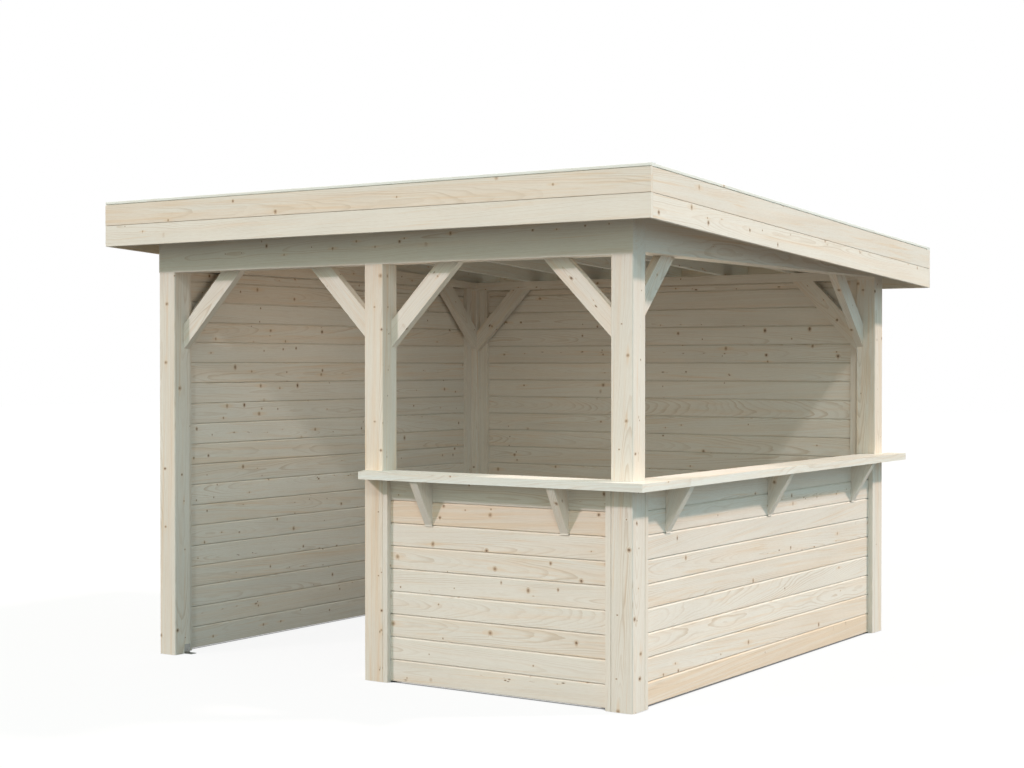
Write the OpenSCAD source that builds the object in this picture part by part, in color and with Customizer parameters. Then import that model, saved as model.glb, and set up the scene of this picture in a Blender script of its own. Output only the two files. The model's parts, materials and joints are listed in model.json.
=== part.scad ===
// Timber garden gazebo with a pent roof, two full board walls and an L-shaped bar counter.
// Millimetres, +Z up. The origin is on the ground, under the centre of the roof's outline.
// +X runs to the right along the entrance front, +Y runs from the front to the back.

/* [Frame] */
// Width of the frame over the outer faces of the posts
frame_w = 2980; // [2400:10:4200]
// Depth of the frame over the outer faces of the posts
frame_d = 2985; // [2400:10:4200]
// Side of the square posts
post_w = 116; // [95:1:160]
// Eased edge of the posts
post_ease = 4; // [1:0.5:10]
// Height of the front and back beams' underside, which is also the posts' length
beam_z = 2086; // [1900:1:2400]
// How far the side beams' underside lies above it
side_beam_step = 15; // [0:1:20]
// Height of the front beam at its outer face
front_beam_h = 204; // [170:1:300]
// Length of each brace's long edge along the post and along the beam
brace_leg = 413; // [300:1:500]
// Width of the braces' faces
brace_w = 95; // [60:1:140]
// Thickness of the braces
brace_t = 43; // [25:1:60]

/* [Roof] */
// Fall of the roof towards the back in degrees
roof_pitch = 3.03; // [1.5:0.01:3.4]
// Overhang past the front posts
front_overhang = 200; // [100:1:400]
// Overhang past the side posts
side_overhang = 204; // [100:1:400]
// Overhang past the back posts
back_overhang = 240; // [100:1:400]
// Number of rafters, the outer two over the side beams
rafter_count = 7; // [4:1:10]
// Width of the rafters
rafter_w = 45; // [30:1:80]
// Height of the rafters
rafter_h = 95; // [70:1:140]
// Thickness of the roof boards
deck_t = 19; // [12:1:28]
// Thickness of the fascia boards
fascia_t = 19; // [12:1:28]
// Cover height of one fascia board
fascia_board_h = 113; // [90:1:150]
// Number of fascia boards one above the other
fascia_boards = 2; // [2:1:3]
// How far the fascia's lower edge hangs below the rafters
fascia_drop = 75; // [40:1:95]
// Height of the strip on top of the fascia
cap_h = 16; // [10:1:30]
// Width of the strip on top of the fascia
cap_w = 45; // [25:1:90]

/* [Walls] */
// Thickness of the wall boards
board_t = 19; // [14:1:28]
// Width of the outer laths
lath_w = 28; // [15:1:45]
// Width of the inner battens
batten_w = 55; // [25:1:80]
// Depth of the inner battens, which fill the space between the boards and the braces
batten_t = 26; // [8:1:32]
// Gap between the lowest board and the ground
wall_gap = 5; // [0:1:20]

/* [Counter] */
// Height of the counter's underside, the top of the half walls
counter_z = 1018; // [900:1:1200]
// Thickness of the counter
counter_t = 38; // [25:1:60]
// Overhang of the counter past the posts' outer faces
counter_out = 115; // [60:1:200]
// How far the counter reaches inwards from the posts' outer faces
counter_in = 80; // [60:1:85]
// How far the counter's left end passes the middle of the middle post, at its front edge
counter_left_end = 7; // [0:1:50]
// How much further the slanting left end reaches where it meets the post
counter_left_slant = 47; // [0:1:50]
// How far the counter's right end passes the back post
counter_right_end = 84; // [0:1:150]
// Thickness of the brackets under the counter
bracket_t = 43; // [25:1:60]
// Depth of the brackets at the top
bracket_d = 134; // [80:1:155]
// Height of the brackets
bracket_h = 228; // [150:1:300]
// Depth of the brackets' blunt tip at the bottom
bracket_foot = 5; // [2:1:60]
// Height of the brackets' blunt tip
bracket_tip = 8; // [2:1:60]
// Distance from a post to the middle of the nearest bracket
bracket_inset = 265; // [100:1:400]

/* [Anchors] */
// Width of the steel angles at the entrance posts
anchor_w = 40; // [25:1:70]
// Length of the angles' upright and ground legs
anchor_leg = 50; // [40:1:90]
// Thickness of the angles
anchor_t = 3; // [2:0.5:5]
// Radius of the anchor bolt's hole
anchor_hole_r = 5.5; // [3:0.5:8]
// Distance from an angle to the post's inner face
anchor_edge = 6; // [0:1:20]

/* [Hidden] */
$fn = 48;

pine = [0.86, 0.77, 0.63];
pine_pale = [0.90, 0.82, 0.70];
pine_deep = [0.80, 0.70, 0.55];
zinc = [0.62, 0.64, 0.66];

// Frame coordinates: x from the left posts' outer face, y from the front posts' outer face.
// recess is the depth of the outer laths, from the posts' outer face in to the boards.
front_y = -(frame_d + back_overhang - front_overhang) / 2;
recess = post_w - brace_t - batten_t - board_t;
side_beam_z = beam_z + side_beam_step;
middle_left = frame_w / 2 - post_w / 2;
middle_right = frame_w / 2 + post_w / 2;
right_in = frame_w - post_w;
back_in = frame_d - post_w;

// Roof lines: the rafters' underside falls evenly from the front to the back
slope = tan(roof_pitch);
function rafter_under(y) = beam_z + front_beam_h - slope * y;
function fascia_under(y) = rafter_under(y) - fascia_drop;
roof_front = -front_overhang;
roof_back = frame_d + back_overhang;
roof_left = -side_overhang;
roof_right = frame_w + side_overhang;
fascia_h = fascia_boards * fascia_board_h;
brace_short = brace_leg - brace_w * sqrt(2);
rafter_pitch = (frame_w - post_w) / (rafter_count - 1);

// Moves frame coordinates to the part's own origin
module in_frame() {
    translate([-frame_w / 2, front_y, 0])
        children();
}

// Extrudes an outline drawn in the (y, z) plane along +X from x
module side_profile(x, width, points) {
    translate([x, 0, 0])
        rotate([90, 0, 90])
            linear_extrude(width)
                polygon(points);
}

// A strip in the (y, z) plane between two sloping lines with upright ends
function sloped_strip(y0, y1, low0, low1, height) = [
    [y0, low0], [y1, low1], [y1, low1 + height], [y0, low0 + height]
];

module post(x, y) {
    e = post_ease;
    w = post_w;
    color(pine_pale)
        in_frame()
            translate([x, y, 0])
                linear_extrude(beam_z)
                    polygon([[e, 0], [w - e, 0], [w, e], [w, w - e], [w - e, w], [e, w], [0, w - e], [0, e]]);
}

module front_left_post() { post(0, 0); }
module front_middle_post() { post(middle_left, 0); }
module front_right_post() { post(right_in, 0); }
module back_left_post() { post(0, back_in); }
module back_right_post() { post(right_in, back_in); }

// A beam whose underside is level and whose top follows the rafters
module beam(x, width, y0, y1, under) {
    color(pine)
        in_frame()
            side_profile(x, width, [
                [y0, under], [y1, under], [y1, rafter_under(y1)], [y0, rafter_under(y0)]
            ]);
}

module front_beam() { beam(0, frame_w, 0, post_w, beam_z); }
module back_beam() { beam(0, frame_w, back_in, frame_d, beam_z); }
module left_beam() { beam(0, post_w, post_w, back_in, side_beam_z); }
module right_beam() { beam(right_in, post_w, post_w, back_in, side_beam_z); }

// Outline of a brace, from the corner where a post meets a beam
function brace_outline() = [[0, -brace_leg], [brace_leg, 0], [brace_short, 0], [0, -brace_short]];

// A brace along X from a post's face at x, with y its back face
module brace_x(x, y, direction) {
    color(pine)
        in_frame()
            translate([x, y, beam_z])
                mirror([direction < 0 ? 1 : 0, 0, 0])
                    rotate([90, 0, 0])
                        linear_extrude(brace_t)
                            polygon(brace_outline());
}

// A brace along Y from a post's face at y, with x its left face
module brace_y(x, y, direction) {
    color(pine)
        in_frame()
            translate([x, y, side_beam_z])
                mirror([0, direction < 0 ? 1 : 0, 0])
                    side_profile(0, brace_t, brace_outline());
}

module brace_front_left() { brace_x(post_w, post_w, 1); }
module brace_front_middle_left() { brace_x(middle_left, post_w, -1); }
module brace_front_middle_right() { brace_x(middle_right, post_w, 1); }
module brace_front_right() { brace_x(right_in, post_w, -1); }
module brace_back_left() { brace_x(post_w, back_in + brace_t, 1); }
module brace_back_right() { brace_x(right_in, back_in + brace_t, -1); }
module brace_right_front() { brace_y(right_in, post_w, 1); }
module brace_right_back() { brace_y(right_in, back_in, -1); }
module brace_left_front() { brace_y(post_w - brace_t, post_w, 1); }
module brace_left_back() { brace_y(post_w - brace_t, back_in, -1); }

// A board wall as a slab between two posts
module wall(x0, x1, y0, y1, top) {
    color(pine)
        in_frame()
            translate([x0, y0, wall_gap])
                cube([x1 - x0, y1 - y0, top - wall_gap]);
}

module left_wall() { wall(recess, recess + board_t, post_w, back_in, side_beam_z); }
module back_wall() { wall(post_w, right_in, frame_d - recess - board_t, frame_d - recess, beam_z); }
module front_half_wall() { wall(middle_right, right_in, recess, recess + board_t, counter_z); }
module right_half_wall() { wall(frame_w - recess - board_t, frame_w - recess, post_w, back_in, counter_z); }

// Uprights at one end of a wall: a lath outside and a batten inside the boards.
// Drawn with the outer side at y = 0 and the post at x = 0.
module end_uprights(top) {
    cube([lath_w, recess, top]);
    translate([0, recess + board_t, 0])
        cube([batten_w, batten_t, top]);
}

// The uprights at both ends of a wall of the given length
module wall_uprights(length, top) {
    color(pine_deep) {
        end_uprights(top);
        translate([length, 0, 0])
            mirror([1, 0, 0])
                end_uprights(top);
    }
}

module front_half_wall_battens() {
    in_frame()
        translate([middle_right, 0, 0])
            wall_uprights(right_in - middle_right, counter_z);
}

module back_wall_battens() {
    in_frame()
        translate([right_in, frame_d, 0])
            rotate([0, 0, 180])
                wall_uprights(right_in - post_w, beam_z);
}

module right_half_wall_battens() {
    in_frame()
        translate([frame_w, post_w, 0])
            rotate([0, 0, 90])
                wall_uprights(back_in - post_w, counter_z);
}

module left_wall_battens() {
    in_frame()
        translate([0, back_in, 0])
            rotate([0, 0, -90])
                wall_uprights(back_in - post_w, side_beam_z);
}

module counter(points) {
    color(pine_pale)
        in_frame()
            translate([0, 0, counter_z])
                linear_extrude(counter_t)
                    polygon(points);
}

// The front length ends with a slant on the middle post and is mitred at the corner post
module front_counter() {
    left = frame_w / 2 - counter_left_end;
    counter([
        [left, -counter_out], [frame_w + counter_out, -counter_out], [frame_w, 0],
        [right_in, 0], [right_in, counter_in], [middle_right, counter_in], [middle_right, 0],
        [left - counter_left_slant, 0]
    ]);
}

module right_counter() {
    outer = frame_w + counter_out;
    inner = frame_w - counter_in;
    far_end = frame_d + counter_right_end;
    counter([
        [outer, -counter_out], [outer, far_end], [frame_w, far_end], [frame_w, back_in],
        [inner, back_in], [inner, post_w], [frame_w, post_w], [frame_w, 0]
    ]);
}

// A bracket whose back is on x = 0, reaching out along +X, centred on y = 0
module counter_bracket() {
    color(pine_deep)
        translate([0, bracket_t / 2, counter_z])
            rotate([90, 0, 0])
                linear_extrude(bracket_t)
                    polygon([
                        [0, 0], [bracket_d, 0], [bracket_foot, bracket_tip - bracket_h],
                        [bracket_foot, -bracket_h], [0, -bracket_h]
                    ]);
}

module front_counter_brackets() {
    for (x = [middle_right + bracket_inset, right_in - bracket_inset])
        in_frame()
            translate([x, recess, 0])
                rotate([0, 0, -90])
                    counter_bracket();
}

module right_counter_brackets() {
    for (y = [post_w + bracket_inset, frame_d / 2, back_in - bracket_inset])
        in_frame()
            translate([frame_w - recess, y, 0])
                counter_bracket();
}

module rafters() {
    y0 = roof_front + fascia_t;
    y1 = roof_back - fascia_t;
    color(pine_deep)
        in_frame()
            for (i = [0 : rafter_count - 1])
                side_profile(post_w / 2 + i * rafter_pitch - rafter_w / 2, rafter_w,
                    sloped_strip(y0, y1, rafter_under(y0), rafter_under(y1), rafter_h));
}

module roof_deck() {
    y0 = roof_front + fascia_t;
    y1 = roof_back - fascia_t;
    x0 = roof_left + fascia_t;
    color(pine)
        in_frame()
            side_profile(x0, roof_right - roof_left - 2 * fascia_t,
                sloped_strip(y0, y1, rafter_under(y0) + rafter_h, rafter_under(y1) + rafter_h, deck_t));
}

// A fascia or a cap along the front or the back, level and as long as the roof is wide
module level_edge(y, depth, z, height) {
    color(pine)
        in_frame()
            translate([roof_left, y, z])
                cube([roof_right - roof_left, depth, height]);
}

// A fascia or a cap along a side, between the front and the back one, with the roof's fall
module sloped_edge(x, width, inset, rise, height) {
    y0 = roof_front + inset;
    y1 = roof_back - inset;
    color(pine)
        in_frame()
            side_profile(x, width,
                sloped_strip(y0, y1, fascia_under(y0) + rise, fascia_under(y1) + rise, height));
}

module front_fascia() { level_edge(roof_front, fascia_t, fascia_under(roof_front), fascia_h); }
module back_fascia() { level_edge(roof_back - fascia_t, fascia_t, fascia_under(roof_back), fascia_h); }
module left_fascia() { sloped_edge(roof_left, fascia_t, fascia_t, 0, fascia_h); }
module right_fascia() { sloped_edge(roof_right - fascia_t, fascia_t, fascia_t, 0, fascia_h); }

module front_cap() { level_edge(roof_front, cap_w, fascia_under(roof_front) + fascia_h, cap_h); }
module back_cap() { level_edge(roof_back - cap_w, cap_w, fascia_under(roof_back) + fascia_h, cap_h); }
module left_cap() { sloped_edge(roof_left, cap_w, cap_w, fascia_h, cap_h); }
module right_cap() { sloped_edge(roof_right - cap_w, cap_w, cap_w, fascia_h, cap_h); }

// A steel angle with its upright leg on x = 0 and its ground leg along +X
module anchor() {
    hole_x = (anchor_leg + anchor_t) / 2;
    color(zinc)
        difference() {
            rotate([90, 0, 0])
                linear_extrude(anchor_w)
                    polygon([
                        [0, 0], [anchor_leg, 0], [anchor_leg, anchor_t],
                        [anchor_t, anchor_t], [anchor_t, anchor_leg], [0, anchor_leg]
                    ]);
            translate([hole_x, -anchor_w / 2, -anchor_t])
                cylinder(h = 3 * anchor_t, r = anchor_hole_r);
        }
}

// The two angles face each other across the entrance
module post_anchors() {
    y = post_w - anchor_edge;
    in_frame() {
        translate([post_w, y, 0])
            anchor();
        translate([middle_left, y, 0])
            mirror([1, 0, 0])
                anchor();
    }
}

front_left_post();
front_middle_post();
front_right_post();
back_left_post();
back_right_post();
front_beam();
back_beam();
left_beam();
right_beam();
brace_front_left();
brace_front_middle_left();
brace_front_middle_right();
brace_front_right();
brace_right_front();
brace_right_back();
brace_left_front();
brace_left_back();
brace_back_left();
brace_back_right();
left_wall();
back_wall();
front_half_wall();
right_half_wall();
left_wall_battens();
back_wall_battens();
front_half_wall_battens();
right_half_wall_battens();
front_counter();
right_counter();
front_counter_brackets();
right_counter_brackets();
rafters();
roof_deck();
front_fascia();
back_fascia();
left_fascia();
right_fascia();
front_cap();
back_cap();
left_cap();
right_cap();
post_anchors();
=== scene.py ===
"""Looks of a timber garden gazebo with two board walls and a serving counter round its open corner."""
import json
import math
import random

import bmesh
import bpy
import numpy as np
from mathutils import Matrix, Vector


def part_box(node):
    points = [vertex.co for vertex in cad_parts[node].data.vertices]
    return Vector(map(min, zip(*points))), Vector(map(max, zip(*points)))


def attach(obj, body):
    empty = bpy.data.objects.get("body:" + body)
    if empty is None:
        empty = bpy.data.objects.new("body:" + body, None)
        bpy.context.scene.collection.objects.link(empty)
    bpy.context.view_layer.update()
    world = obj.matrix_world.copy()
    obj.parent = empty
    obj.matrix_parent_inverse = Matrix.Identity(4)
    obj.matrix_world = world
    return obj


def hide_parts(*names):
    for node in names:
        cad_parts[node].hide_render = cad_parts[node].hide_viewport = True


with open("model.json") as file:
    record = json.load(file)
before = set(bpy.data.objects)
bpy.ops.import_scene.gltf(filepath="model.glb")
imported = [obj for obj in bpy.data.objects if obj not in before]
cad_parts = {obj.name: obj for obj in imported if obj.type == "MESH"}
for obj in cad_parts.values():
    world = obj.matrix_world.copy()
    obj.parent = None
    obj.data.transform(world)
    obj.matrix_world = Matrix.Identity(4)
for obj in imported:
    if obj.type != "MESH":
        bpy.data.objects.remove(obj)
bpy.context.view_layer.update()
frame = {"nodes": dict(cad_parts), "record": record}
slot_of = {part["node"]: part["material_slot"] for part in frame["record"]["subparts"]}

MM = 0.001
X, Y, Z = Vector((1, 0, 0)), Vector((0, 1, 0)), Vector((0, 0, 1))
chance = random.Random(41)

# Courses of the boards, the heights of the walls' lowest joints, and the least width of a ripped board
BOARD_COVER = 113.4 * MM
HALF_WALL_JOINT = 115.4 * MM
FULL_WALL_JOINT = 121.4 * MM
LEAST_RIP = 12 * MM
BOARD_PLAY = 0.4 * MM

# Joints between the boards, as lists of (depth, distance from the middle of the joint):
# the upper edge of a board below the joint, then the lower edge of the board above it
WALL_JOINT = (((0, 8.2 * MM), (6.0 * MM, 1.0 * MM), (9.0 * MM, 1.0 * MM), (9.0 * MM, 0)),
              ((0, 3.4 * MM), (2.4 * MM, 1.0 * MM), (9.0 * MM, 1.0 * MM), (9.0 * MM, 0)))
DECK_JOINT = (((0, 3.0 * MM), (2.5 * MM, 0.5 * MM), (5.0 * MM, 0.5 * MM), (5.0 * MM, 0)),) * 2
FASCIA_JOINT = (((0, 1.6 * MM), (0.8 * MM, 0.9 * MM), (7.0 * MM, 0.9 * MM), (7.0 * MM, 0)),
                ((0, 2.2 * MM), (1.4 * MM, 0.9 * MM), (7.0 * MM, 0.9 * MM), (7.0 * MM, 0)))

# Rounding of the single timbers, by how a node's name begins or ends
EASES = {
    "_post": 2.0 * MM,
    "_beam": 3.0 * MM,
    "brace_": 2.5 * MM,
    "_battens": 1.5 * MM,
    "_counter": 4.0 * MM,
    "_brackets": 2.5 * MM,
    "rafters": 2.0 * MM,
}
EASE_STEPS, ROUND_PROFILE = 3, 0.5
CAP_EASE = 1.5 * MM
CAP_GROOVE_HEIGHT, CAP_GROOVE_DEPTH = 3.5 * MM, 7.0 * MM

# How the CAD solids are read: what counts as a sharp edge, a flat side, one corner, an end and an upright
SHARP_ANGLE = math.radians(30)
FLAT_ANGLE = math.radians(0.5)
WELD = 0.01 * MM
END_REACH = 1 * MM
UPRIGHT = 0.8

# Where the heart of the tree lies beside each timber, and how far the grain runs out of it
HEART_NEAR, HEART_FAR = 25 * MM, 80 * MM
HEART_TURN = 0.45
GRAIN_RUNOUT = 0.03
LOG_LENGTH = 60.0

# How far the timbers differ in lightness and warmth
TONE_SPREAD = 0.45
WARMTH_SPREAD = 0.25

# How much warm heartwood some timbers show, by node and by the board's number from below
HEARTWOOD = {
    "front_half_wall": {7: 1.4},
    "right_half_wall": {0: 1.4},
    "front_fascia": {1: 0.6},
    "front_middle_post": {0: 0.6},
    "front_left_post": {0: 0.1},
    "front_beam": {0: 0.0},
}


class Timber:
    """The solids of one piece, with the wood's own coordinates on every corner."""

    def __init__(self, node):
        self.node, self.count = node, 0
        self.points, self.faces = [], []
        self.grain, self.rays, self.tone, self.warmth = [], [], [], []

    def add(self, points, faces, places, crosswise):
        """Adds one length of timber; places are its corners along, through and across the grain.

        The directions in crosswise, through and across it, give each corner's way out from the heart.
        """
        start = len(self.points)
        offset = chance.uniform(0, LOG_LENGTH)
        turn = chance.gauss(0, HEART_TURN) + chance.choice((0, math.pi))
        reach = chance.uniform(HEART_NEAR, HEART_FAR)
        heart = (reach * math.cos(turn), reach * math.sin(turn))
        lean = [chance.gauss(0, GRAIN_RUNOUT) for _ in range(2)]
        tone = max(-1.0, min(1.0, chance.gauss(0, TONE_SPREAD)))
        drawn = min(1.0, abs(chance.gauss(0, WARMTH_SPREAD)))
        warmth = HEARTWOOD.get(self.node, {}).get(self.count, drawn)
        self.count += 1
        self.points += [tuple(p) for p in points]
        self.faces += [tuple(start + i for i in face) for face in faces]
        for along, through, across in places:
            out = (through + heart[0] + lean[0] * along, across + heart[1] + lean[1] * along)
            self.grain += [along + offset, *out]
            self.rays.extend(crosswise[0] * out[0] + crosswise[1] * out[1])
            self.tone.append(tone)
            self.warmth.append(warmth)

    def piece(self, finish):
        """Makes the piece that is shown for the CAD node."""
        mesh = bpy.data.meshes.new(self.node + "_wood")
        mesh.from_pydata(self.points, [], self.faces)
        mesh.attributes.new("grain", "FLOAT_VECTOR", "POINT").data.foreach_set("vector", self.grain)
        mesh.attributes.new("ray", "FLOAT_VECTOR", "POINT").data.foreach_set("vector", self.rays)
        mesh.attributes.new("tone", "FLOAT", "POINT").data.foreach_set("value", self.tone)
        mesh.attributes.new("warmth", "FLOAT", "POINT").data.foreach_set("value", self.warmth)
        mesh.materials.append(finish)
        obj = bpy.data.objects.new(self.node + "_wood", mesh)
        bpy.context.scene.collection.objects.link(obj)
        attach(obj, "root")
        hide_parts(self.node)


def solids_of(node):
    """The separate closed solids of a CAD node, with each flat side as one face."""
    whole = bmesh.new()
    whole.from_mesh(frame["nodes"][node].data)
    bmesh.ops.remove_doubles(whole, verts=whole.verts, dist=WELD)
    bmesh.ops.dissolve_limit(whole, angle_limit=FLAT_ANGLE, verts=whole.verts, edges=whole.edges)
    seen = set()
    for first in whole.verts:
        if first in seen:
            continue
        island, waiting = [], [first]
        seen.add(first)
        while waiting:
            corner = waiting.pop()
            island.append(corner)
            for link in corner.link_edges:
                other = link.other_vert(corner)
                if other not in seen:
                    seen.add(other)
                    waiting.append(other)
        solid = bmesh.new()
        copies = {corner: solid.verts.new(corner.co) for corner in island}
        for face in whole.faces:
            if face.verts[0] in copies:
                solid.faces.new([copies[corner] for corner in face.verts])
        yield solid
    whole.free()


def grain_axes(points):
    """The longest direction of a timber, and two directions across it."""
    spread = np.array(points) - np.mean(points, axis=0)
    along = Vector(np.linalg.eigh(spread.T @ spread)[1][:, 2]).normalized()
    if along[max(range(3), key=lambda i: abs(along[i]))] < 0:
        along.negate()
    side = Z if abs(along.z) < UPRIGHT else Y
    through = along.cross(side).normalized()
    return along, through, through.cross(along)


def ease_of(node):
    """The rounding of a node's edges, or None for a node of boards or of steel."""
    for part, ease in EASES.items():
        if node.startswith(part) or node.endswith(part):
            return ease
    return None


def dressed(node, ease, finish):
    """A piece with the CAD node's own solids, their edges rounded and the grain run along them."""
    timber = Timber(node)
    for solid in solids_of(node):
        axes = grain_axes([corner.co[:] for corner in solid.verts])
        centre = sum((corner.co for corner in solid.verts), Vector()) / len(solid.verts)
        sharp = [edge for edge in solid.edges if edge.calc_face_angle(0) > SHARP_ANGLE]
        bmesh.ops.bevel(solid, geom=sharp, offset=ease, segments=EASE_STEPS, profile=ROUND_PROFILE,
                        affect="EDGES")
        solid.verts.index_update()
        points = [corner.co.copy() for corner in solid.verts]
        places = [[(point - centre).dot(axis) for axis in axes] for point in points]
        faces = [[corner.index for corner in face.verts] for face in solid.faces]
        timber.add(points, faces, places, axes[1:])
        solid.free()
    timber.piece(finish)


def board_outline(thick, cover, joint):
    """The end view of a board, with both faces alike and its two edges shaped by the joint."""
    upper, lower = joint
    low = [*lower] + [(thick - a, b) for a, b in reversed(lower)]
    high = [*upper] + [(thick - a, b) for a, b in reversed(upper)]
    return low + [(a, cover - b) for a, b in reversed(high)]


def cap_outline(thick, cover):
    """The end view of a cap: eased on top, with a groove under its outer edge."""
    groove = [(0, CAP_GROOVE_HEIGHT), (CAP_GROOVE_DEPTH, CAP_GROOVE_HEIGHT), (CAP_GROOVE_DEPTH, 0)]
    top = [(thick, cover - CAP_EASE), (thick - CAP_EASE, cover), (CAP_EASE, cover), (0, cover - CAP_EASE)]
    return groove + [(thick, 0)] + top


def length_of_timber(timber, outline, corner, along, through, across, length, play=0.0):
    """Adds a straight timber with the end view given in the directions through and across it."""
    middle = [sum(column) / len(outline) for column in zip(*outline)]
    points, places = [], []
    for end in (0.0, length):
        for a, b in outline:
            points.append(corner + along * end + through * (a + play) + across * b)
            places.append((end * along.length, a - middle[0], b - middle[1]))
    count = len(outline)
    faces = [(i, (i + 1) % count, count + (i + 1) % count, count + i) for i in range(count)]
    faces += [tuple(reversed(range(count))), tuple(range(count, 2 * count))]
    if along.cross(through).dot(across) < 0:
        faces = [tuple(reversed(face)) for face in faces]
    timber.add(points, faces, places, (through, across))


def run_of_boards(timber, corner, along, through, across, length, thick, covers, joint):
    """Lays boards side by side from a corner, each as long as the run."""
    place = 0.0
    for cover in covers:
        play = chance.uniform(-BOARD_PLAY, BOARD_PLAY)
        length_of_timber(timber, board_outline(thick, cover, joint), corner + across * place,
                         along, through, across, length, play)
        place += cover


def even_covers(total):
    """Boards of one width that fill a run, each near the usual width."""
    count = max(1, round(total / BOARD_COVER))
    return [total / count] * count


def upright_slab(node):
    """Lowest corner, highest corner and size of a CAD slab, and the axis that it is thin along."""
    low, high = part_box(node)
    size = high - low
    return low, high, size, 0 if size.x < size.y else 1


def end_heights(node, y):
    """Lowest and highest point of a CAD node at its front or back end."""
    heights = [v.co.z for v in frame["nodes"][node].data.vertices if abs(v.co.y - y) < END_REACH]
    return min(heights), max(heights)


def slope_of(node):
    """Lowest and highest point of a sloping CAD node's front end, and its direction to the back."""
    low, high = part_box(node)
    bottom, top = end_heights(node, low.y)
    rise = (end_heights(node, high.y)[0] - bottom) / (high.y - low.y)
    return bottom, top, Vector((0, 1, rise))


def board_wall(node, joint, finish):
    """A wall of level boards from its lowest joint up; the top board is ripped to what is left."""
    low, _, size, thin = upright_slab(node)
    along, through = (Y, X) if thin == 0 else (X, Y)
    covers = [joint - low.z]
    while sum(covers) + BOARD_COVER + LEAST_RIP < size.z:
        covers.append(BOARD_COVER)
    covers.append(size.z - sum(covers))
    timber = Timber(node)
    run_of_boards(timber, low, along, through, Z, size[1 - thin], size[thin], covers, WALL_JOINT)
    timber.piece(finish)


def board_fascia(node, finish):
    """Two boards on edge; those along the sides fall with the roof and have upright ends."""
    low, high, size, thin = upright_slab(node)
    bottom, top, along = slope_of(node) if thin == 0 else (low.z, high.z, X)
    corner = Vector((low.x, low.y, bottom))
    covers = even_covers(top - bottom)
    timber = Timber(node)
    run_of_boards(timber, corner, along, (X, Y)[thin], Z, size[1 - thin], size[thin], covers, FASCIA_JOINT)
    timber.piece(finish)


def grooved_cap(node, finish):
    """A strip on top of a fascia, with its groove on the roof's outer side."""
    low, high, size, thin = upright_slab(node)
    bottom, top, along = slope_of(node) if thin == 0 else (low.z, high.z, X)
    inward = -1 if low[thin] + high[thin] > 0 else 1
    corner = Vector((low.x, low.y, bottom))
    corner[thin] = low[thin] if inward > 0 else high[thin]
    outline = cap_outline(size[thin], top - bottom)
    timber = Timber(node)
    length_of_timber(timber, outline, corner, along, (X, Y)[thin] * inward, Z, size[1 - thin])
    timber.piece(finish)


def board_roof(node, finish):
    """Boards laid across the rafters, from the front edge to the back one."""
    low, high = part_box(node)
    size = high - low
    bottom, top, backward = slope_of(node)
    corner = Vector((low.x, low.y, bottom))
    timber = Timber(node)
    run_of_boards(timber, corner, X, Z, backward, size.x, top - bottom, even_covers(size.y), DECK_JOINT)
    timber.piece(finish)


class Graph:
    """Short names for building the nodes of a material or of the world."""

    def __init__(self, owner):
        owner.use_nodes = True
        self.tree = owner.node_tree
        self.tree.nodes.clear()

    def add(self, kind, inputs=(), **settings):
        node = self.tree.nodes.new("ShaderNode" + kind)
        for name, value in settings.items():
            setattr(node, name, value)
        for key, value in dict(inputs).items():
            if isinstance(value, bpy.types.NodeSocket):
                self.tree.links.new(value, node.inputs[key])
            else:
                node.inputs[key].default_value = value
        return node

    def end(self, kind, shader):
        self.tree.links.new(shader.outputs[0], self.add(kind).inputs[0])

    def math(self, operation, *values, clamp=False):
        return self.add("Math", dict(enumerate(values)), operation=operation, use_clamp=clamp).outputs[0]

    def scaled(self, vector, factors):
        return self.add("VectorMath", {0: vector, 1: factors}, operation="MULTIPLY").outputs[0]

    def length(self, vector):
        return self.add("VectorMath", {0: vector}, operation="LENGTH").outputs["Value"]

    def joined(self, first, second):
        return self.add("CombineXYZ", {0: first, 1: second}).outputs[0]

    def noise(self, vector, detail=2.0, roughness=0.5):
        return self.add("TexNoise", {"Vector": vector, "Scale": 1.0, "Detail": detail,
                                     "Roughness": roughness}).outputs[0]

    def ramp(self, value, low, high, to_low=0.0, to_high=1.0, smooth=True):
        kind = "SMOOTHSTEP" if smooth else "LINEAR"
        return self.add("MapRange", {0: value, 1: low, 2: high, 3: to_low, 4: to_high},
                        interpolation_type=kind).outputs[0]

    def blend(self, share, first, second):
        return self.add("Mix", {0: share, 6: first, 7: second}, data_type="RGBA").outputs[2]

    def attribute(self, name, output):
        return self.add("Attribute", attribute_name=name).outputs[output]


def colour(red, green, blue):
    """An opaque colour."""
    return (red, green, blue, 1.0)


# How often the wood's patterns repeat in a metre along, through and across a timber
WANDER_SCALE = (1.3, 5, 5)
RIPPLE_SCALE = (7, 45, 45)
PATCH_SCALE = (2.2, 16, 16)
FIBRE_SCALE = (22, 620, 620)
STREAK_SCALE = (0.55, 26, 26)
BAND_SCALE = (0.8, 60, 60)
CLOUD_SCALE = (2.0, 9, 9)
KNOT_EDGE_SCALE = (320, 320, 320)

# Knots: spacing along a timber and round its heart, radii, and how squarely a branch meets a face to show
KNOT_STEP, KNOTS_PER_RADIAN, KNOT_SCATTER = 150 * MM, 1.1, 0.85
KNOT_LEAST, KNOT_MOST, KNOT_SMALLNESS = 2.6 * MM, 8.5 * MM, 1.8
KNOT_FACING = (0.40, 0.65)
KNOT_BARK, KNOT_DARKNESS = colour(0.13, 0.075, 0.04), (0.92, 0.35)
KNOT_RIM, KNOT_RIM_SHARE = colour(0.50, 0.33, 0.19), 0.60
TAIL_SHARE, TAILED, TAIL_STRETCH = 0.50, (0.35, 0.8), 0.16
EDGE_ROUGHNESS = 0.7

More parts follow.
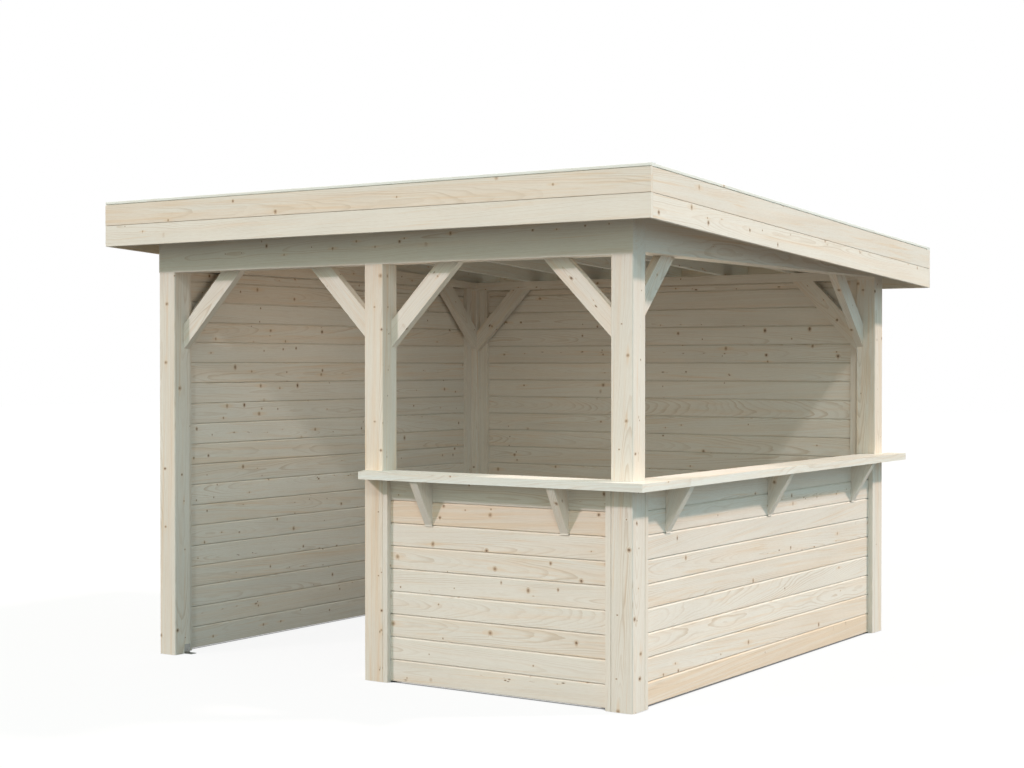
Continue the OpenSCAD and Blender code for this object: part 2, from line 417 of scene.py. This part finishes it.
# From where to where, in radii of a knot, its core, its rim, the bent grain round it and its tail fade in
CORE_EDGE, RIM_EDGE, SWIRL_EDGE, TAIL_EDGE = (1.0, 0.6), (2.1, 1.0), (3.0, 0.4), (1.9, 0.5)

# Growth rings: width, how far noise and knots push them, and where in a ring the late wood comes and goes
RING_WIDTH = 5.5 * MM
WANDER, RIPPLE, SWIRL = 50 * MM, 4 * MM, 7 * MM
LATE_START, LATE_END = (0.45, 0.93), (1.0, 0.95)
YEAR_SHIFT = 50.0
PATCHINESS, DRY_YEARS = (0.3, 0.7, 0.3, 1.0), (0.1, 0.9, 0.2, 1.0)

# Warm streaks, fibres, and light and dark in the colour
ROSY_GAIN, ROSY_RANGE = 0.30, (0.46, 0.84)
TAN_GAIN, TAN_RANGE, TAN_SHARE = 0.15, (0.56, 0.80), 0.70
FIBRE_SHARE = (0.35, 0.75, 0.0, 0.20)
TONE_GAIN, CLOUD_GAIN, CLOUD_BASE = 0.035, 0.12, 0.96

# The planed surface
WOOD_ROUGHNESS = (0.2, 0.8, 0.52, 0.72)
WOOD_SPECULAR = 0.3
LATE_HEIGHT, KNOT_HEIGHT = 0.35, -0.8
WOOD_BUMP, WOOD_BUMP_DEPTH = 0.22, 0.6 * MM


def knots_of(g, grain, reach, share):
    """Branches that run out from the heart, each of its own size, where they come out of the face.

    Gives the dark core, its darkness, the rim, the bent grain and the warm tail that some of them have.
    """
    place = g.add("SeparateXYZ", {0: grain}).outputs
    bearing = g.math("ARCTAN2", place[2], place[1])
    spot = g.joined(g.math("DIVIDE", place[0], KNOT_STEP), g.math("MULTIPLY", bearing, KNOTS_PER_RADIAN))
    cells = g.add("TexVoronoi", {"Vector": spot, "Scale": 1.0, "Randomness": KNOT_SCATTER},
                  voronoi_dimensions="2D").outputs
    offset = g.add("VectorMath", {0: spot, 1: cells["Position"]}, operation="SUBTRACT").outputs[0]
    offset = g.add("SeparateXYZ", {0: offset}).outputs
    beside = g.math("MULTIPLY", offset[0], KNOT_STEP)
    round_it = g.math("MULTIPLY", g.math("DIVIDE", offset[1], KNOTS_PER_RADIAN), reach)

    kind = g.add("SeparateColor", {0: cells["Color"]}).outputs
    normal = g.add("NewGeometry").outputs["True Normal"]
    facing = g.add("VectorMath", {0: normal, 1: g.attribute("ray", "Vector")}, operation="DOT_PRODUCT")
    facing = g.math("DIVIDE", g.math("ABSOLUTE", facing.outputs["Value"]), reach)
    present = g.math("MULTIPLY", g.math("LESS_THAN", kind[0], share), g.ramp(facing, *KNOT_FACING))
    bigness = g.math("POWER", kind[1], KNOT_SMALLNESS)
    radius = g.ramp(bigness, 0.0, 1.0, KNOT_LEAST, KNOT_MOST, smooth=False)
    darkness = g.ramp(kind[2], 0.0, 1.0, *KNOT_DARKNESS, smooth=False)

    ratio = g.math("DIVIDE", g.length(g.joined(beside, round_it)), radius)
    edge = g.noise(g.scaled(grain, KNOT_EDGE_SCALE))
    ragged = g.math("ADD", ratio, g.math("MULTIPLY_ADD", edge, EDGE_ROUGHNESS, -EDGE_ROUGHNESS / 2))
    core = g.math("MULTIPLY", g.ramp(ragged, *CORE_EDGE), present)
    rim = g.math("MULTIPLY", g.ramp(ragged, *RIM_EDGE), present)
    swirl = g.math("MULTIPLY", g.ramp(ratio, *SWIRL_EDGE), present)
    drawn_out = g.length(g.joined(g.math("MULTIPLY", beside, TAIL_STRETCH), round_it))
    tail = g.math("MULTIPLY", g.ramp(g.math("DIVIDE", drawn_out, radius), *TAIL_EDGE), present)
    tail = g.math("MULTIPLY", tail, g.ramp(kind[2], *TAILED))
    return core, darkness, rim, swirl, tail


def rings_of(g, grain, reach, swirl, tone):
    """Growth rings round the heart, wandering along the timber and bent round the knots.

    Gives the late wood of each ring, and how much of it shows as colour.
    """
    bent = g.math("MULTIPLY_ADD", g.noise(g.scaled(grain, WANDER_SCALE)), WANDER, reach)
    bent = g.math("MULTIPLY_ADD", g.noise(g.scaled(grain, RIPPLE_SCALE)), RIPPLE, bent)
    bent = g.math("MULTIPLY_ADD", swirl, SWIRL, bent)
    turns = g.math("DIVIDE", bent, RING_WIDTH)
    ring = g.math("FRACT", turns)
    late_wood = g.math("MULTIPLY", g.ramp(ring, *LATE_START), g.ramp(ring, *LATE_END))
    year = g.math("MULTIPLY_ADD", tone, YEAR_SHIFT, g.math("FLOOR", turns))
    dry_year = g.add("TexWhiteNoise", {"W": year}, noise_dimensions="1D").outputs[0]
    patch = g.noise(g.scaled(grain, PATCH_SCALE))
    shown = g.math("MULTIPLY", late_wood, g.ramp(patch, *PATCHINESS))
    return late_wood, g.math("MULTIPLY", shown, g.ramp(dry_year, *DRY_YEARS))


def wood(name, colours, contrast, streaks, knots):
    """Planed softwood: growth rings, fibres, warm streaks and knots in the timber's own coordinates.

    Contrast is the strength of the rings, streaks that of the warm wood, and knots the share of branches.
    """
    pale, rosy, tan, late = colours
    material = bpy.data.materials.new(name)
    g = Graph(material)
    grain = g.attribute("grain", "Vector")
    tone = g.attribute("tone", "Fac")
    warmth = g.attribute("warmth", "Fac")
    reach = g.length(g.scaled(grain, (0, 1, 1)))
    core, darkness, rim, swirl, tail = knots_of(g, grain, reach, knots)
    late_wood, shown_rings = rings_of(g, grain, reach, swirl, tone)

    # Fibres, streaks of rosy and tan heartwood, and slow changes of light and dark
    fibre = g.noise(g.scaled(grain, FIBRE_SCALE), 3.0, 0.6)
    streak = g.noise(g.scaled(grain, STREAK_SCALE), 3.0, 0.55)
    band = g.noise(g.scaled(grain, BAND_SCALE), 3.0, 0.6)
    cloud = g.noise(g.scaled(grain, CLOUD_SCALE))
    rosy_wood = g.ramp(g.math("MULTIPLY_ADD", warmth, ROSY_GAIN, streak), *ROSY_RANGE)
    rosy_wood = g.math("MULTIPLY", rosy_wood, streaks, clamp=True)
    tan_wood = g.ramp(g.math("MULTIPLY_ADD", warmth, TAN_GAIN, band), *TAN_RANGE)
    tan_wood = g.math("MULTIPLY", tan_wood, streaks, clamp=True)
    level = g.math("MULTIPLY_ADD", cloud, CLOUD_GAIN, CLOUD_BASE)
    level = g.math("MULTIPLY_ADD", tone, TONE_GAIN, level)

    base = g.blend(rosy_wood, pale, rosy)
    base = g.blend(g.math("MULTIPLY", tan_wood, TAN_SHARE), base, tan)
    base = g.blend(g.math("MULTIPLY", shown_rings, contrast), base, late)
    base = g.blend(g.ramp(fibre, *FIBRE_SHARE), base, late)
    base = g.add("VectorMath", {0: base, "Scale": level}, operation="SCALE").outputs[0]
    base = g.blend(g.math("MULTIPLY", tail, TAIL_SHARE), base, tan)
    base = g.blend(g.math("MULTIPLY", rim, KNOT_RIM_SHARE), base, KNOT_RIM)
    base = g.blend(g.math("MULTIPLY", core, darkness), base, KNOT_BARK)

    rough = g.ramp(fibre, *WOOD_ROUGHNESS, smooth=False)
    height = g.math("MULTIPLY_ADD", late_wood, LATE_HEIGHT, fibre)
    height = g.math("MULTIPLY_ADD", core, KNOT_HEIGHT, height)
    bump = g.add("Bump", {"Strength": WOOD_BUMP, "Distance": WOOD_BUMP_DEPTH, "Height": height})
    g.end("OutputMaterial", g.add("BsdfPrincipled", {
        "Base Color": base, "Roughness": rough, "Specular IOR Level": WOOD_SPECULAR,
        "Normal": bump.outputs[0]}))
    return material


ZINC_DULL, ZINC_BRIGHT = colour(0.20, 0.21, 0.20), colour(0.40, 0.42, 0.40)
FLAKES_PER_METRE, DULL_SCALE = 160.0, (90, 90, 90)
FLAKE_SHARE = 0.35
ZINC_METAL, ZINC_ROUGHNESS = 0.9, (0.2, 0.8, 0.55, 0.38)
ZINC_BUMP, ZINC_BUMP_DEPTH = 0.1, 0.3 * MM


def zinc(name):
    """Hot-dip galvanised steel, with its pale flakes."""
    material = bpy.data.materials.new(name)
    g = Graph(material)
    place = g.add("TexCoord").outputs["Object"]
    flakes = g.add("TexVoronoi", {"Vector": place, "Scale": FLAKES_PER_METRE}).outputs["Color"]
    flake = g.add("SeparateColor", {0: flakes}).outputs[0]
    dull = g.noise(g.scaled(place, DULL_SCALE), 3.0)
    shade = g.math("MULTIPLY_ADD", flake, FLAKE_SHARE, g.math("MULTIPLY", dull, 1 - FLAKE_SHARE))
    base = g.blend(shade, ZINC_DULL, ZINC_BRIGHT)
    bump = g.add("Bump", {"Strength": ZINC_BUMP, "Distance": ZINC_BUMP_DEPTH, "Height": dull})
    rough = g.ramp(shade, *ZINC_ROUGHNESS, smooth=False)
    g.end("OutputMaterial", g.add("BsdfPrincipled", {
        "Base Color": base, "Metallic": ZINC_METAL, "Roughness": rough, "Normal": bump.outputs[0]}))
    return material


# Colours of the wood: fresh, planed smooth or older, then its warm streaks and its late wood
PALE = colour(0.765, 0.717, 0.638)
PLANED = colour(0.750, 0.770, 0.725)
OLDER = colour(0.530, 0.485, 0.405)
ROSY = colour(0.760, 0.658, 0.545)
TAN = colour(0.730, 0.560, 0.390)
LATE = colour(0.530, 0.405, 0.280)
FRESH_WOOD = (PALE, ROSY, TAN, LATE)
SMOOTH_WOOD = (PLANED, ROSY, TAN, LATE)
OLDER_WOOD = (OLDER, TAN, TAN, LATE)
CAP_WOOD = (PLANED, PALE, ROSY, LATE)

# Finishes by the record's slots; the roof boards and the caps have finishes of their own
finishes = {
    "post_timber": wood("post_wood", FRESH_WOOD, contrast=0.60, streaks=1.05, knots=0.42),
    "frame_timber": wood("frame_wood", FRESH_WOOD, contrast=0.60, streaks=0.80, knots=0.36),
    "wall_boards": wood("wall_wood", FRESH_WOOD, contrast=0.60, streaks=0.90, knots=0.32),
    "lath_timber": wood("lath_wood", FRESH_WOOD, contrast=0.50, streaks=0.60, knots=0.12),
    "counter_timber": wood("counter_wood", SMOOTH_WOOD, contrast=0.40, streaks=0.45, knots=0.18),
    "roof_timber": wood("rafter_wood", SMOOTH_WOOD, contrast=0.50, streaks=0.50, knots=0.30),
    "roof_boards": wood("roof_wood", OLDER_WOOD, contrast=0.50, streaks=0.40, knots=0.32),
    "fascia_boards": wood("fascia_wood", FRESH_WOOD, contrast=0.55, streaks=0.95, knots=0.32),
    "roof_caps": wood("cap_wood", CAP_WOOD, contrast=0.25, streaks=0.30, knots=0.04),
    "zinc_steel": zinc("zinc_coat"),
}

# The pieces
for node, slot in slot_of.items():
    finish = finishes[slot]
    ease = ease_of(node)
    if ease:
        dressed(node, ease, finish)
    elif node.endswith("_wall"):
        board_wall(node, HALF_WALL_JOINT if "half" in node else FULL_WALL_JOINT, finish)
    elif node.endswith("_cap"):
        grooved_cap(node, finishes["roof_caps"])
    elif node.endswith("_fascia"):
        board_fascia(node, finish)
    elif node == "roof_deck":
        board_roof(node, finishes["roof_boards"])
    else:
        steel = frame["nodes"][node]
        steel.data.materials.clear()
        steel.data.materials.append(finish)

# Camera at the photograph's place, in a frame of 1024 by 768
FRAME_WIDTH = 1024
FOCAL_PIXELS = 1730.16
SENSOR = 36.0
CAMERA_PLACE = (5.3811, -8.3208, 1.5925)
CAMERA_DROP, CAMERA_TURN = 0.69, 33.7462
camera_data = bpy.data.cameras.new("camera")
camera_data.sensor_fit = "HORIZONTAL"
camera_data.sensor_width = SENSOR
camera_data.lens = FOCAL_PIXELS * SENSOR / FRAME_WIDTH
camera = bpy.data.objects.new("camera", camera_data)
camera.location = CAMERA_PLACE
camera.rotation_euler = (math.radians(90 - CAMERA_DROP), 0.0, math.radians(CAMERA_TURN))
bpy.context.scene.collection.objects.link(camera)
bpy.context.scene.camera = camera


def lamp_object(name, kind, power, tint):
    """A new lamp in the scene: its object and its data."""
    lamp = bpy.data.lights.new(name, kind)
    lamp.energy = power
    lamp.color = tint
    obj = bpy.data.objects.new(name, lamp)
    bpy.context.scene.collection.objects.link(obj)
    return obj, lamp


def sun(name, towards, strength, softness, tint):
    """A soft lamp far away in the direction given; softness is its width in degrees."""
    obj, lamp = lamp_object(name, "SUN", strength, tint)
    lamp.angle = math.radians(softness)
    obj.rotation_mode = "QUATERNION"
    obj.rotation_quaternion = Vector(towards).to_track_quat("Z", "Y")


def room_lamp(name, place, power, radius, tint):
    """A weak soft lamp under the roof."""
    obj, lamp = lamp_object(name, "POINT", power, tint)
    lamp.shadow_soft_size = radius
    obj.location = place
    obj.visible_camera = False


def room_panel(name, place, power, size, tint):
    """A weak soft panel under the roof that shines down."""
    obj, lamp = lamp_object(name, "AREA", power, tint)
    lamp.shape = "RECTANGLE"
    lamp.size, lamp.size_y = size
    obj.location = place
    obj.visible_camera = False


sun("front_lamp", towards=(-0.56, -1.0, 0.69), strength=1.31, softness=3.5, tint=(1.0, 0.88, 0.97))
sun("side_lamp", towards=(1.0, 0.80, 1.15), strength=2.54, softness=3.5, tint=(1.0, 0.78, 0.70))
sun("fill_lamp", towards=(0.84, -1.436, 1.084), strength=0.44, softness=2.0, tint=(1.0, 1.0, 1.0))
room_panel("ceiling_panel", place=(-0.25, -0.3, 2.14), power=5.0, size=(1.2, 1.6), tint=(1.0, 0.98, 0.92))
room_lamp("left_room_lamp", place=(-0.3, -0.7, 1.9), power=3.8, radius=0.3, tint=(1.0, 0.72, 0.50))
room_lamp("right_room_lamp", place=(1.05, -0.85, 1.8), power=3.6, radius=0.25, tint=(1.0, 0.94, 0.78))


def seen_straight(g):
    """One for rays from the camera and for those mirrored or passed on to it."""
    path = g.add("LightPath")
    seen = g.math("MAXIMUM", path.outputs["Is Camera Ray"], path.outputs["Is Glossy Ray"])
    return g.math("MAXIMUM", seen, path.outputs["Is Transmission Ray"])


# Soft sky, warmer on the left and cooler on the right, behind a white background
WHITE = colour(1.0, 1.0, 1.0)
SKY_LEFT, SKY_RIGHT = colour(0.79, 0.82, 0.60), colour(0.74, 1.05, 1.15)
SKY_CHANGE = (-0.3, 0.9)
world = bpy.data.worlds.new("studio")
bpy.context.scene.world = world
g = Graph(world)
rightward = g.add("SeparateXYZ", {0: g.add("TexCoord").outputs["Generated"]}).outputs[0]
sky_colour = g.blend(g.ramp(rightward, *SKY_CHANGE), SKY_LEFT, SKY_RIGHT)
sky = g.add("Background", {"Color": sky_colour, "Strength": 1.0})
white = g.add("Background", {"Color": WHITE, "Strength": 1.0})
g.end("OutputWorld", g.add("MixShader", {0: seen_straight(g), 1: sky.outputs[0], 2: white.outputs[0]}))

# White floor that keeps the shadow, with painted contact shade close to what stands on it; it throws
# little light back
FLOOR_REACH = 45.0
PAINTED_SHADE_REACH, PAINTED_SHADE_RANGE = 40 * MM, (0.15, 0.75)
FLOOR_MATT, FLOOR_PALE = colour(0.15, 0.15, 0.15), colour(0.80, 0.80, 0.80)
GLOW_SHARE = 0.88
floor_mesh = bpy.data.meshes.new("floor")
floor_corners = [(x * FLOOR_REACH, y * FLOOR_REACH, 0) for x, y in ((-1, -1), (1, -1), (1, 1), (-1, 1))]
floor_mesh.from_pydata(floor_corners, [], [(0, 1, 2, 3)])
floor = bpy.data.objects.new("floor", floor_mesh)
bpy.context.scene.collection.objects.link(floor)
floor_finish = bpy.data.materials.new("studio_floor")
g = Graph(floor_finish)
matt = g.add("BsdfDiffuse", {"Color": FLOOR_MATT})
pale = g.add("BsdfDiffuse", {"Color": FLOOR_PALE})
# Painted contact shade: ambient occlusion dims the floor's glow where parts stand close by
open_floor = g.add("AmbientOcclusion", {"Distance": PAINTED_SHADE_REACH}).outputs["AO"]
glow = g.add("Emission", {"Color": WHITE, "Strength": g.ramp(open_floor, *PAINTED_SHADE_RANGE)})
shown = g.add("MixShader", {0: GLOW_SHARE, 1: pale.outputs[0], 2: glow.outputs[0]})
g.end("OutputMaterial", g.add("MixShader", {0: seen_straight(g), 1: matt.outputs[0], 2: shown.outputs[0]}))
floor_mesh.materials.append(floor_finish)

bpy.context.scene.view_settings.view_transform = "Standard"
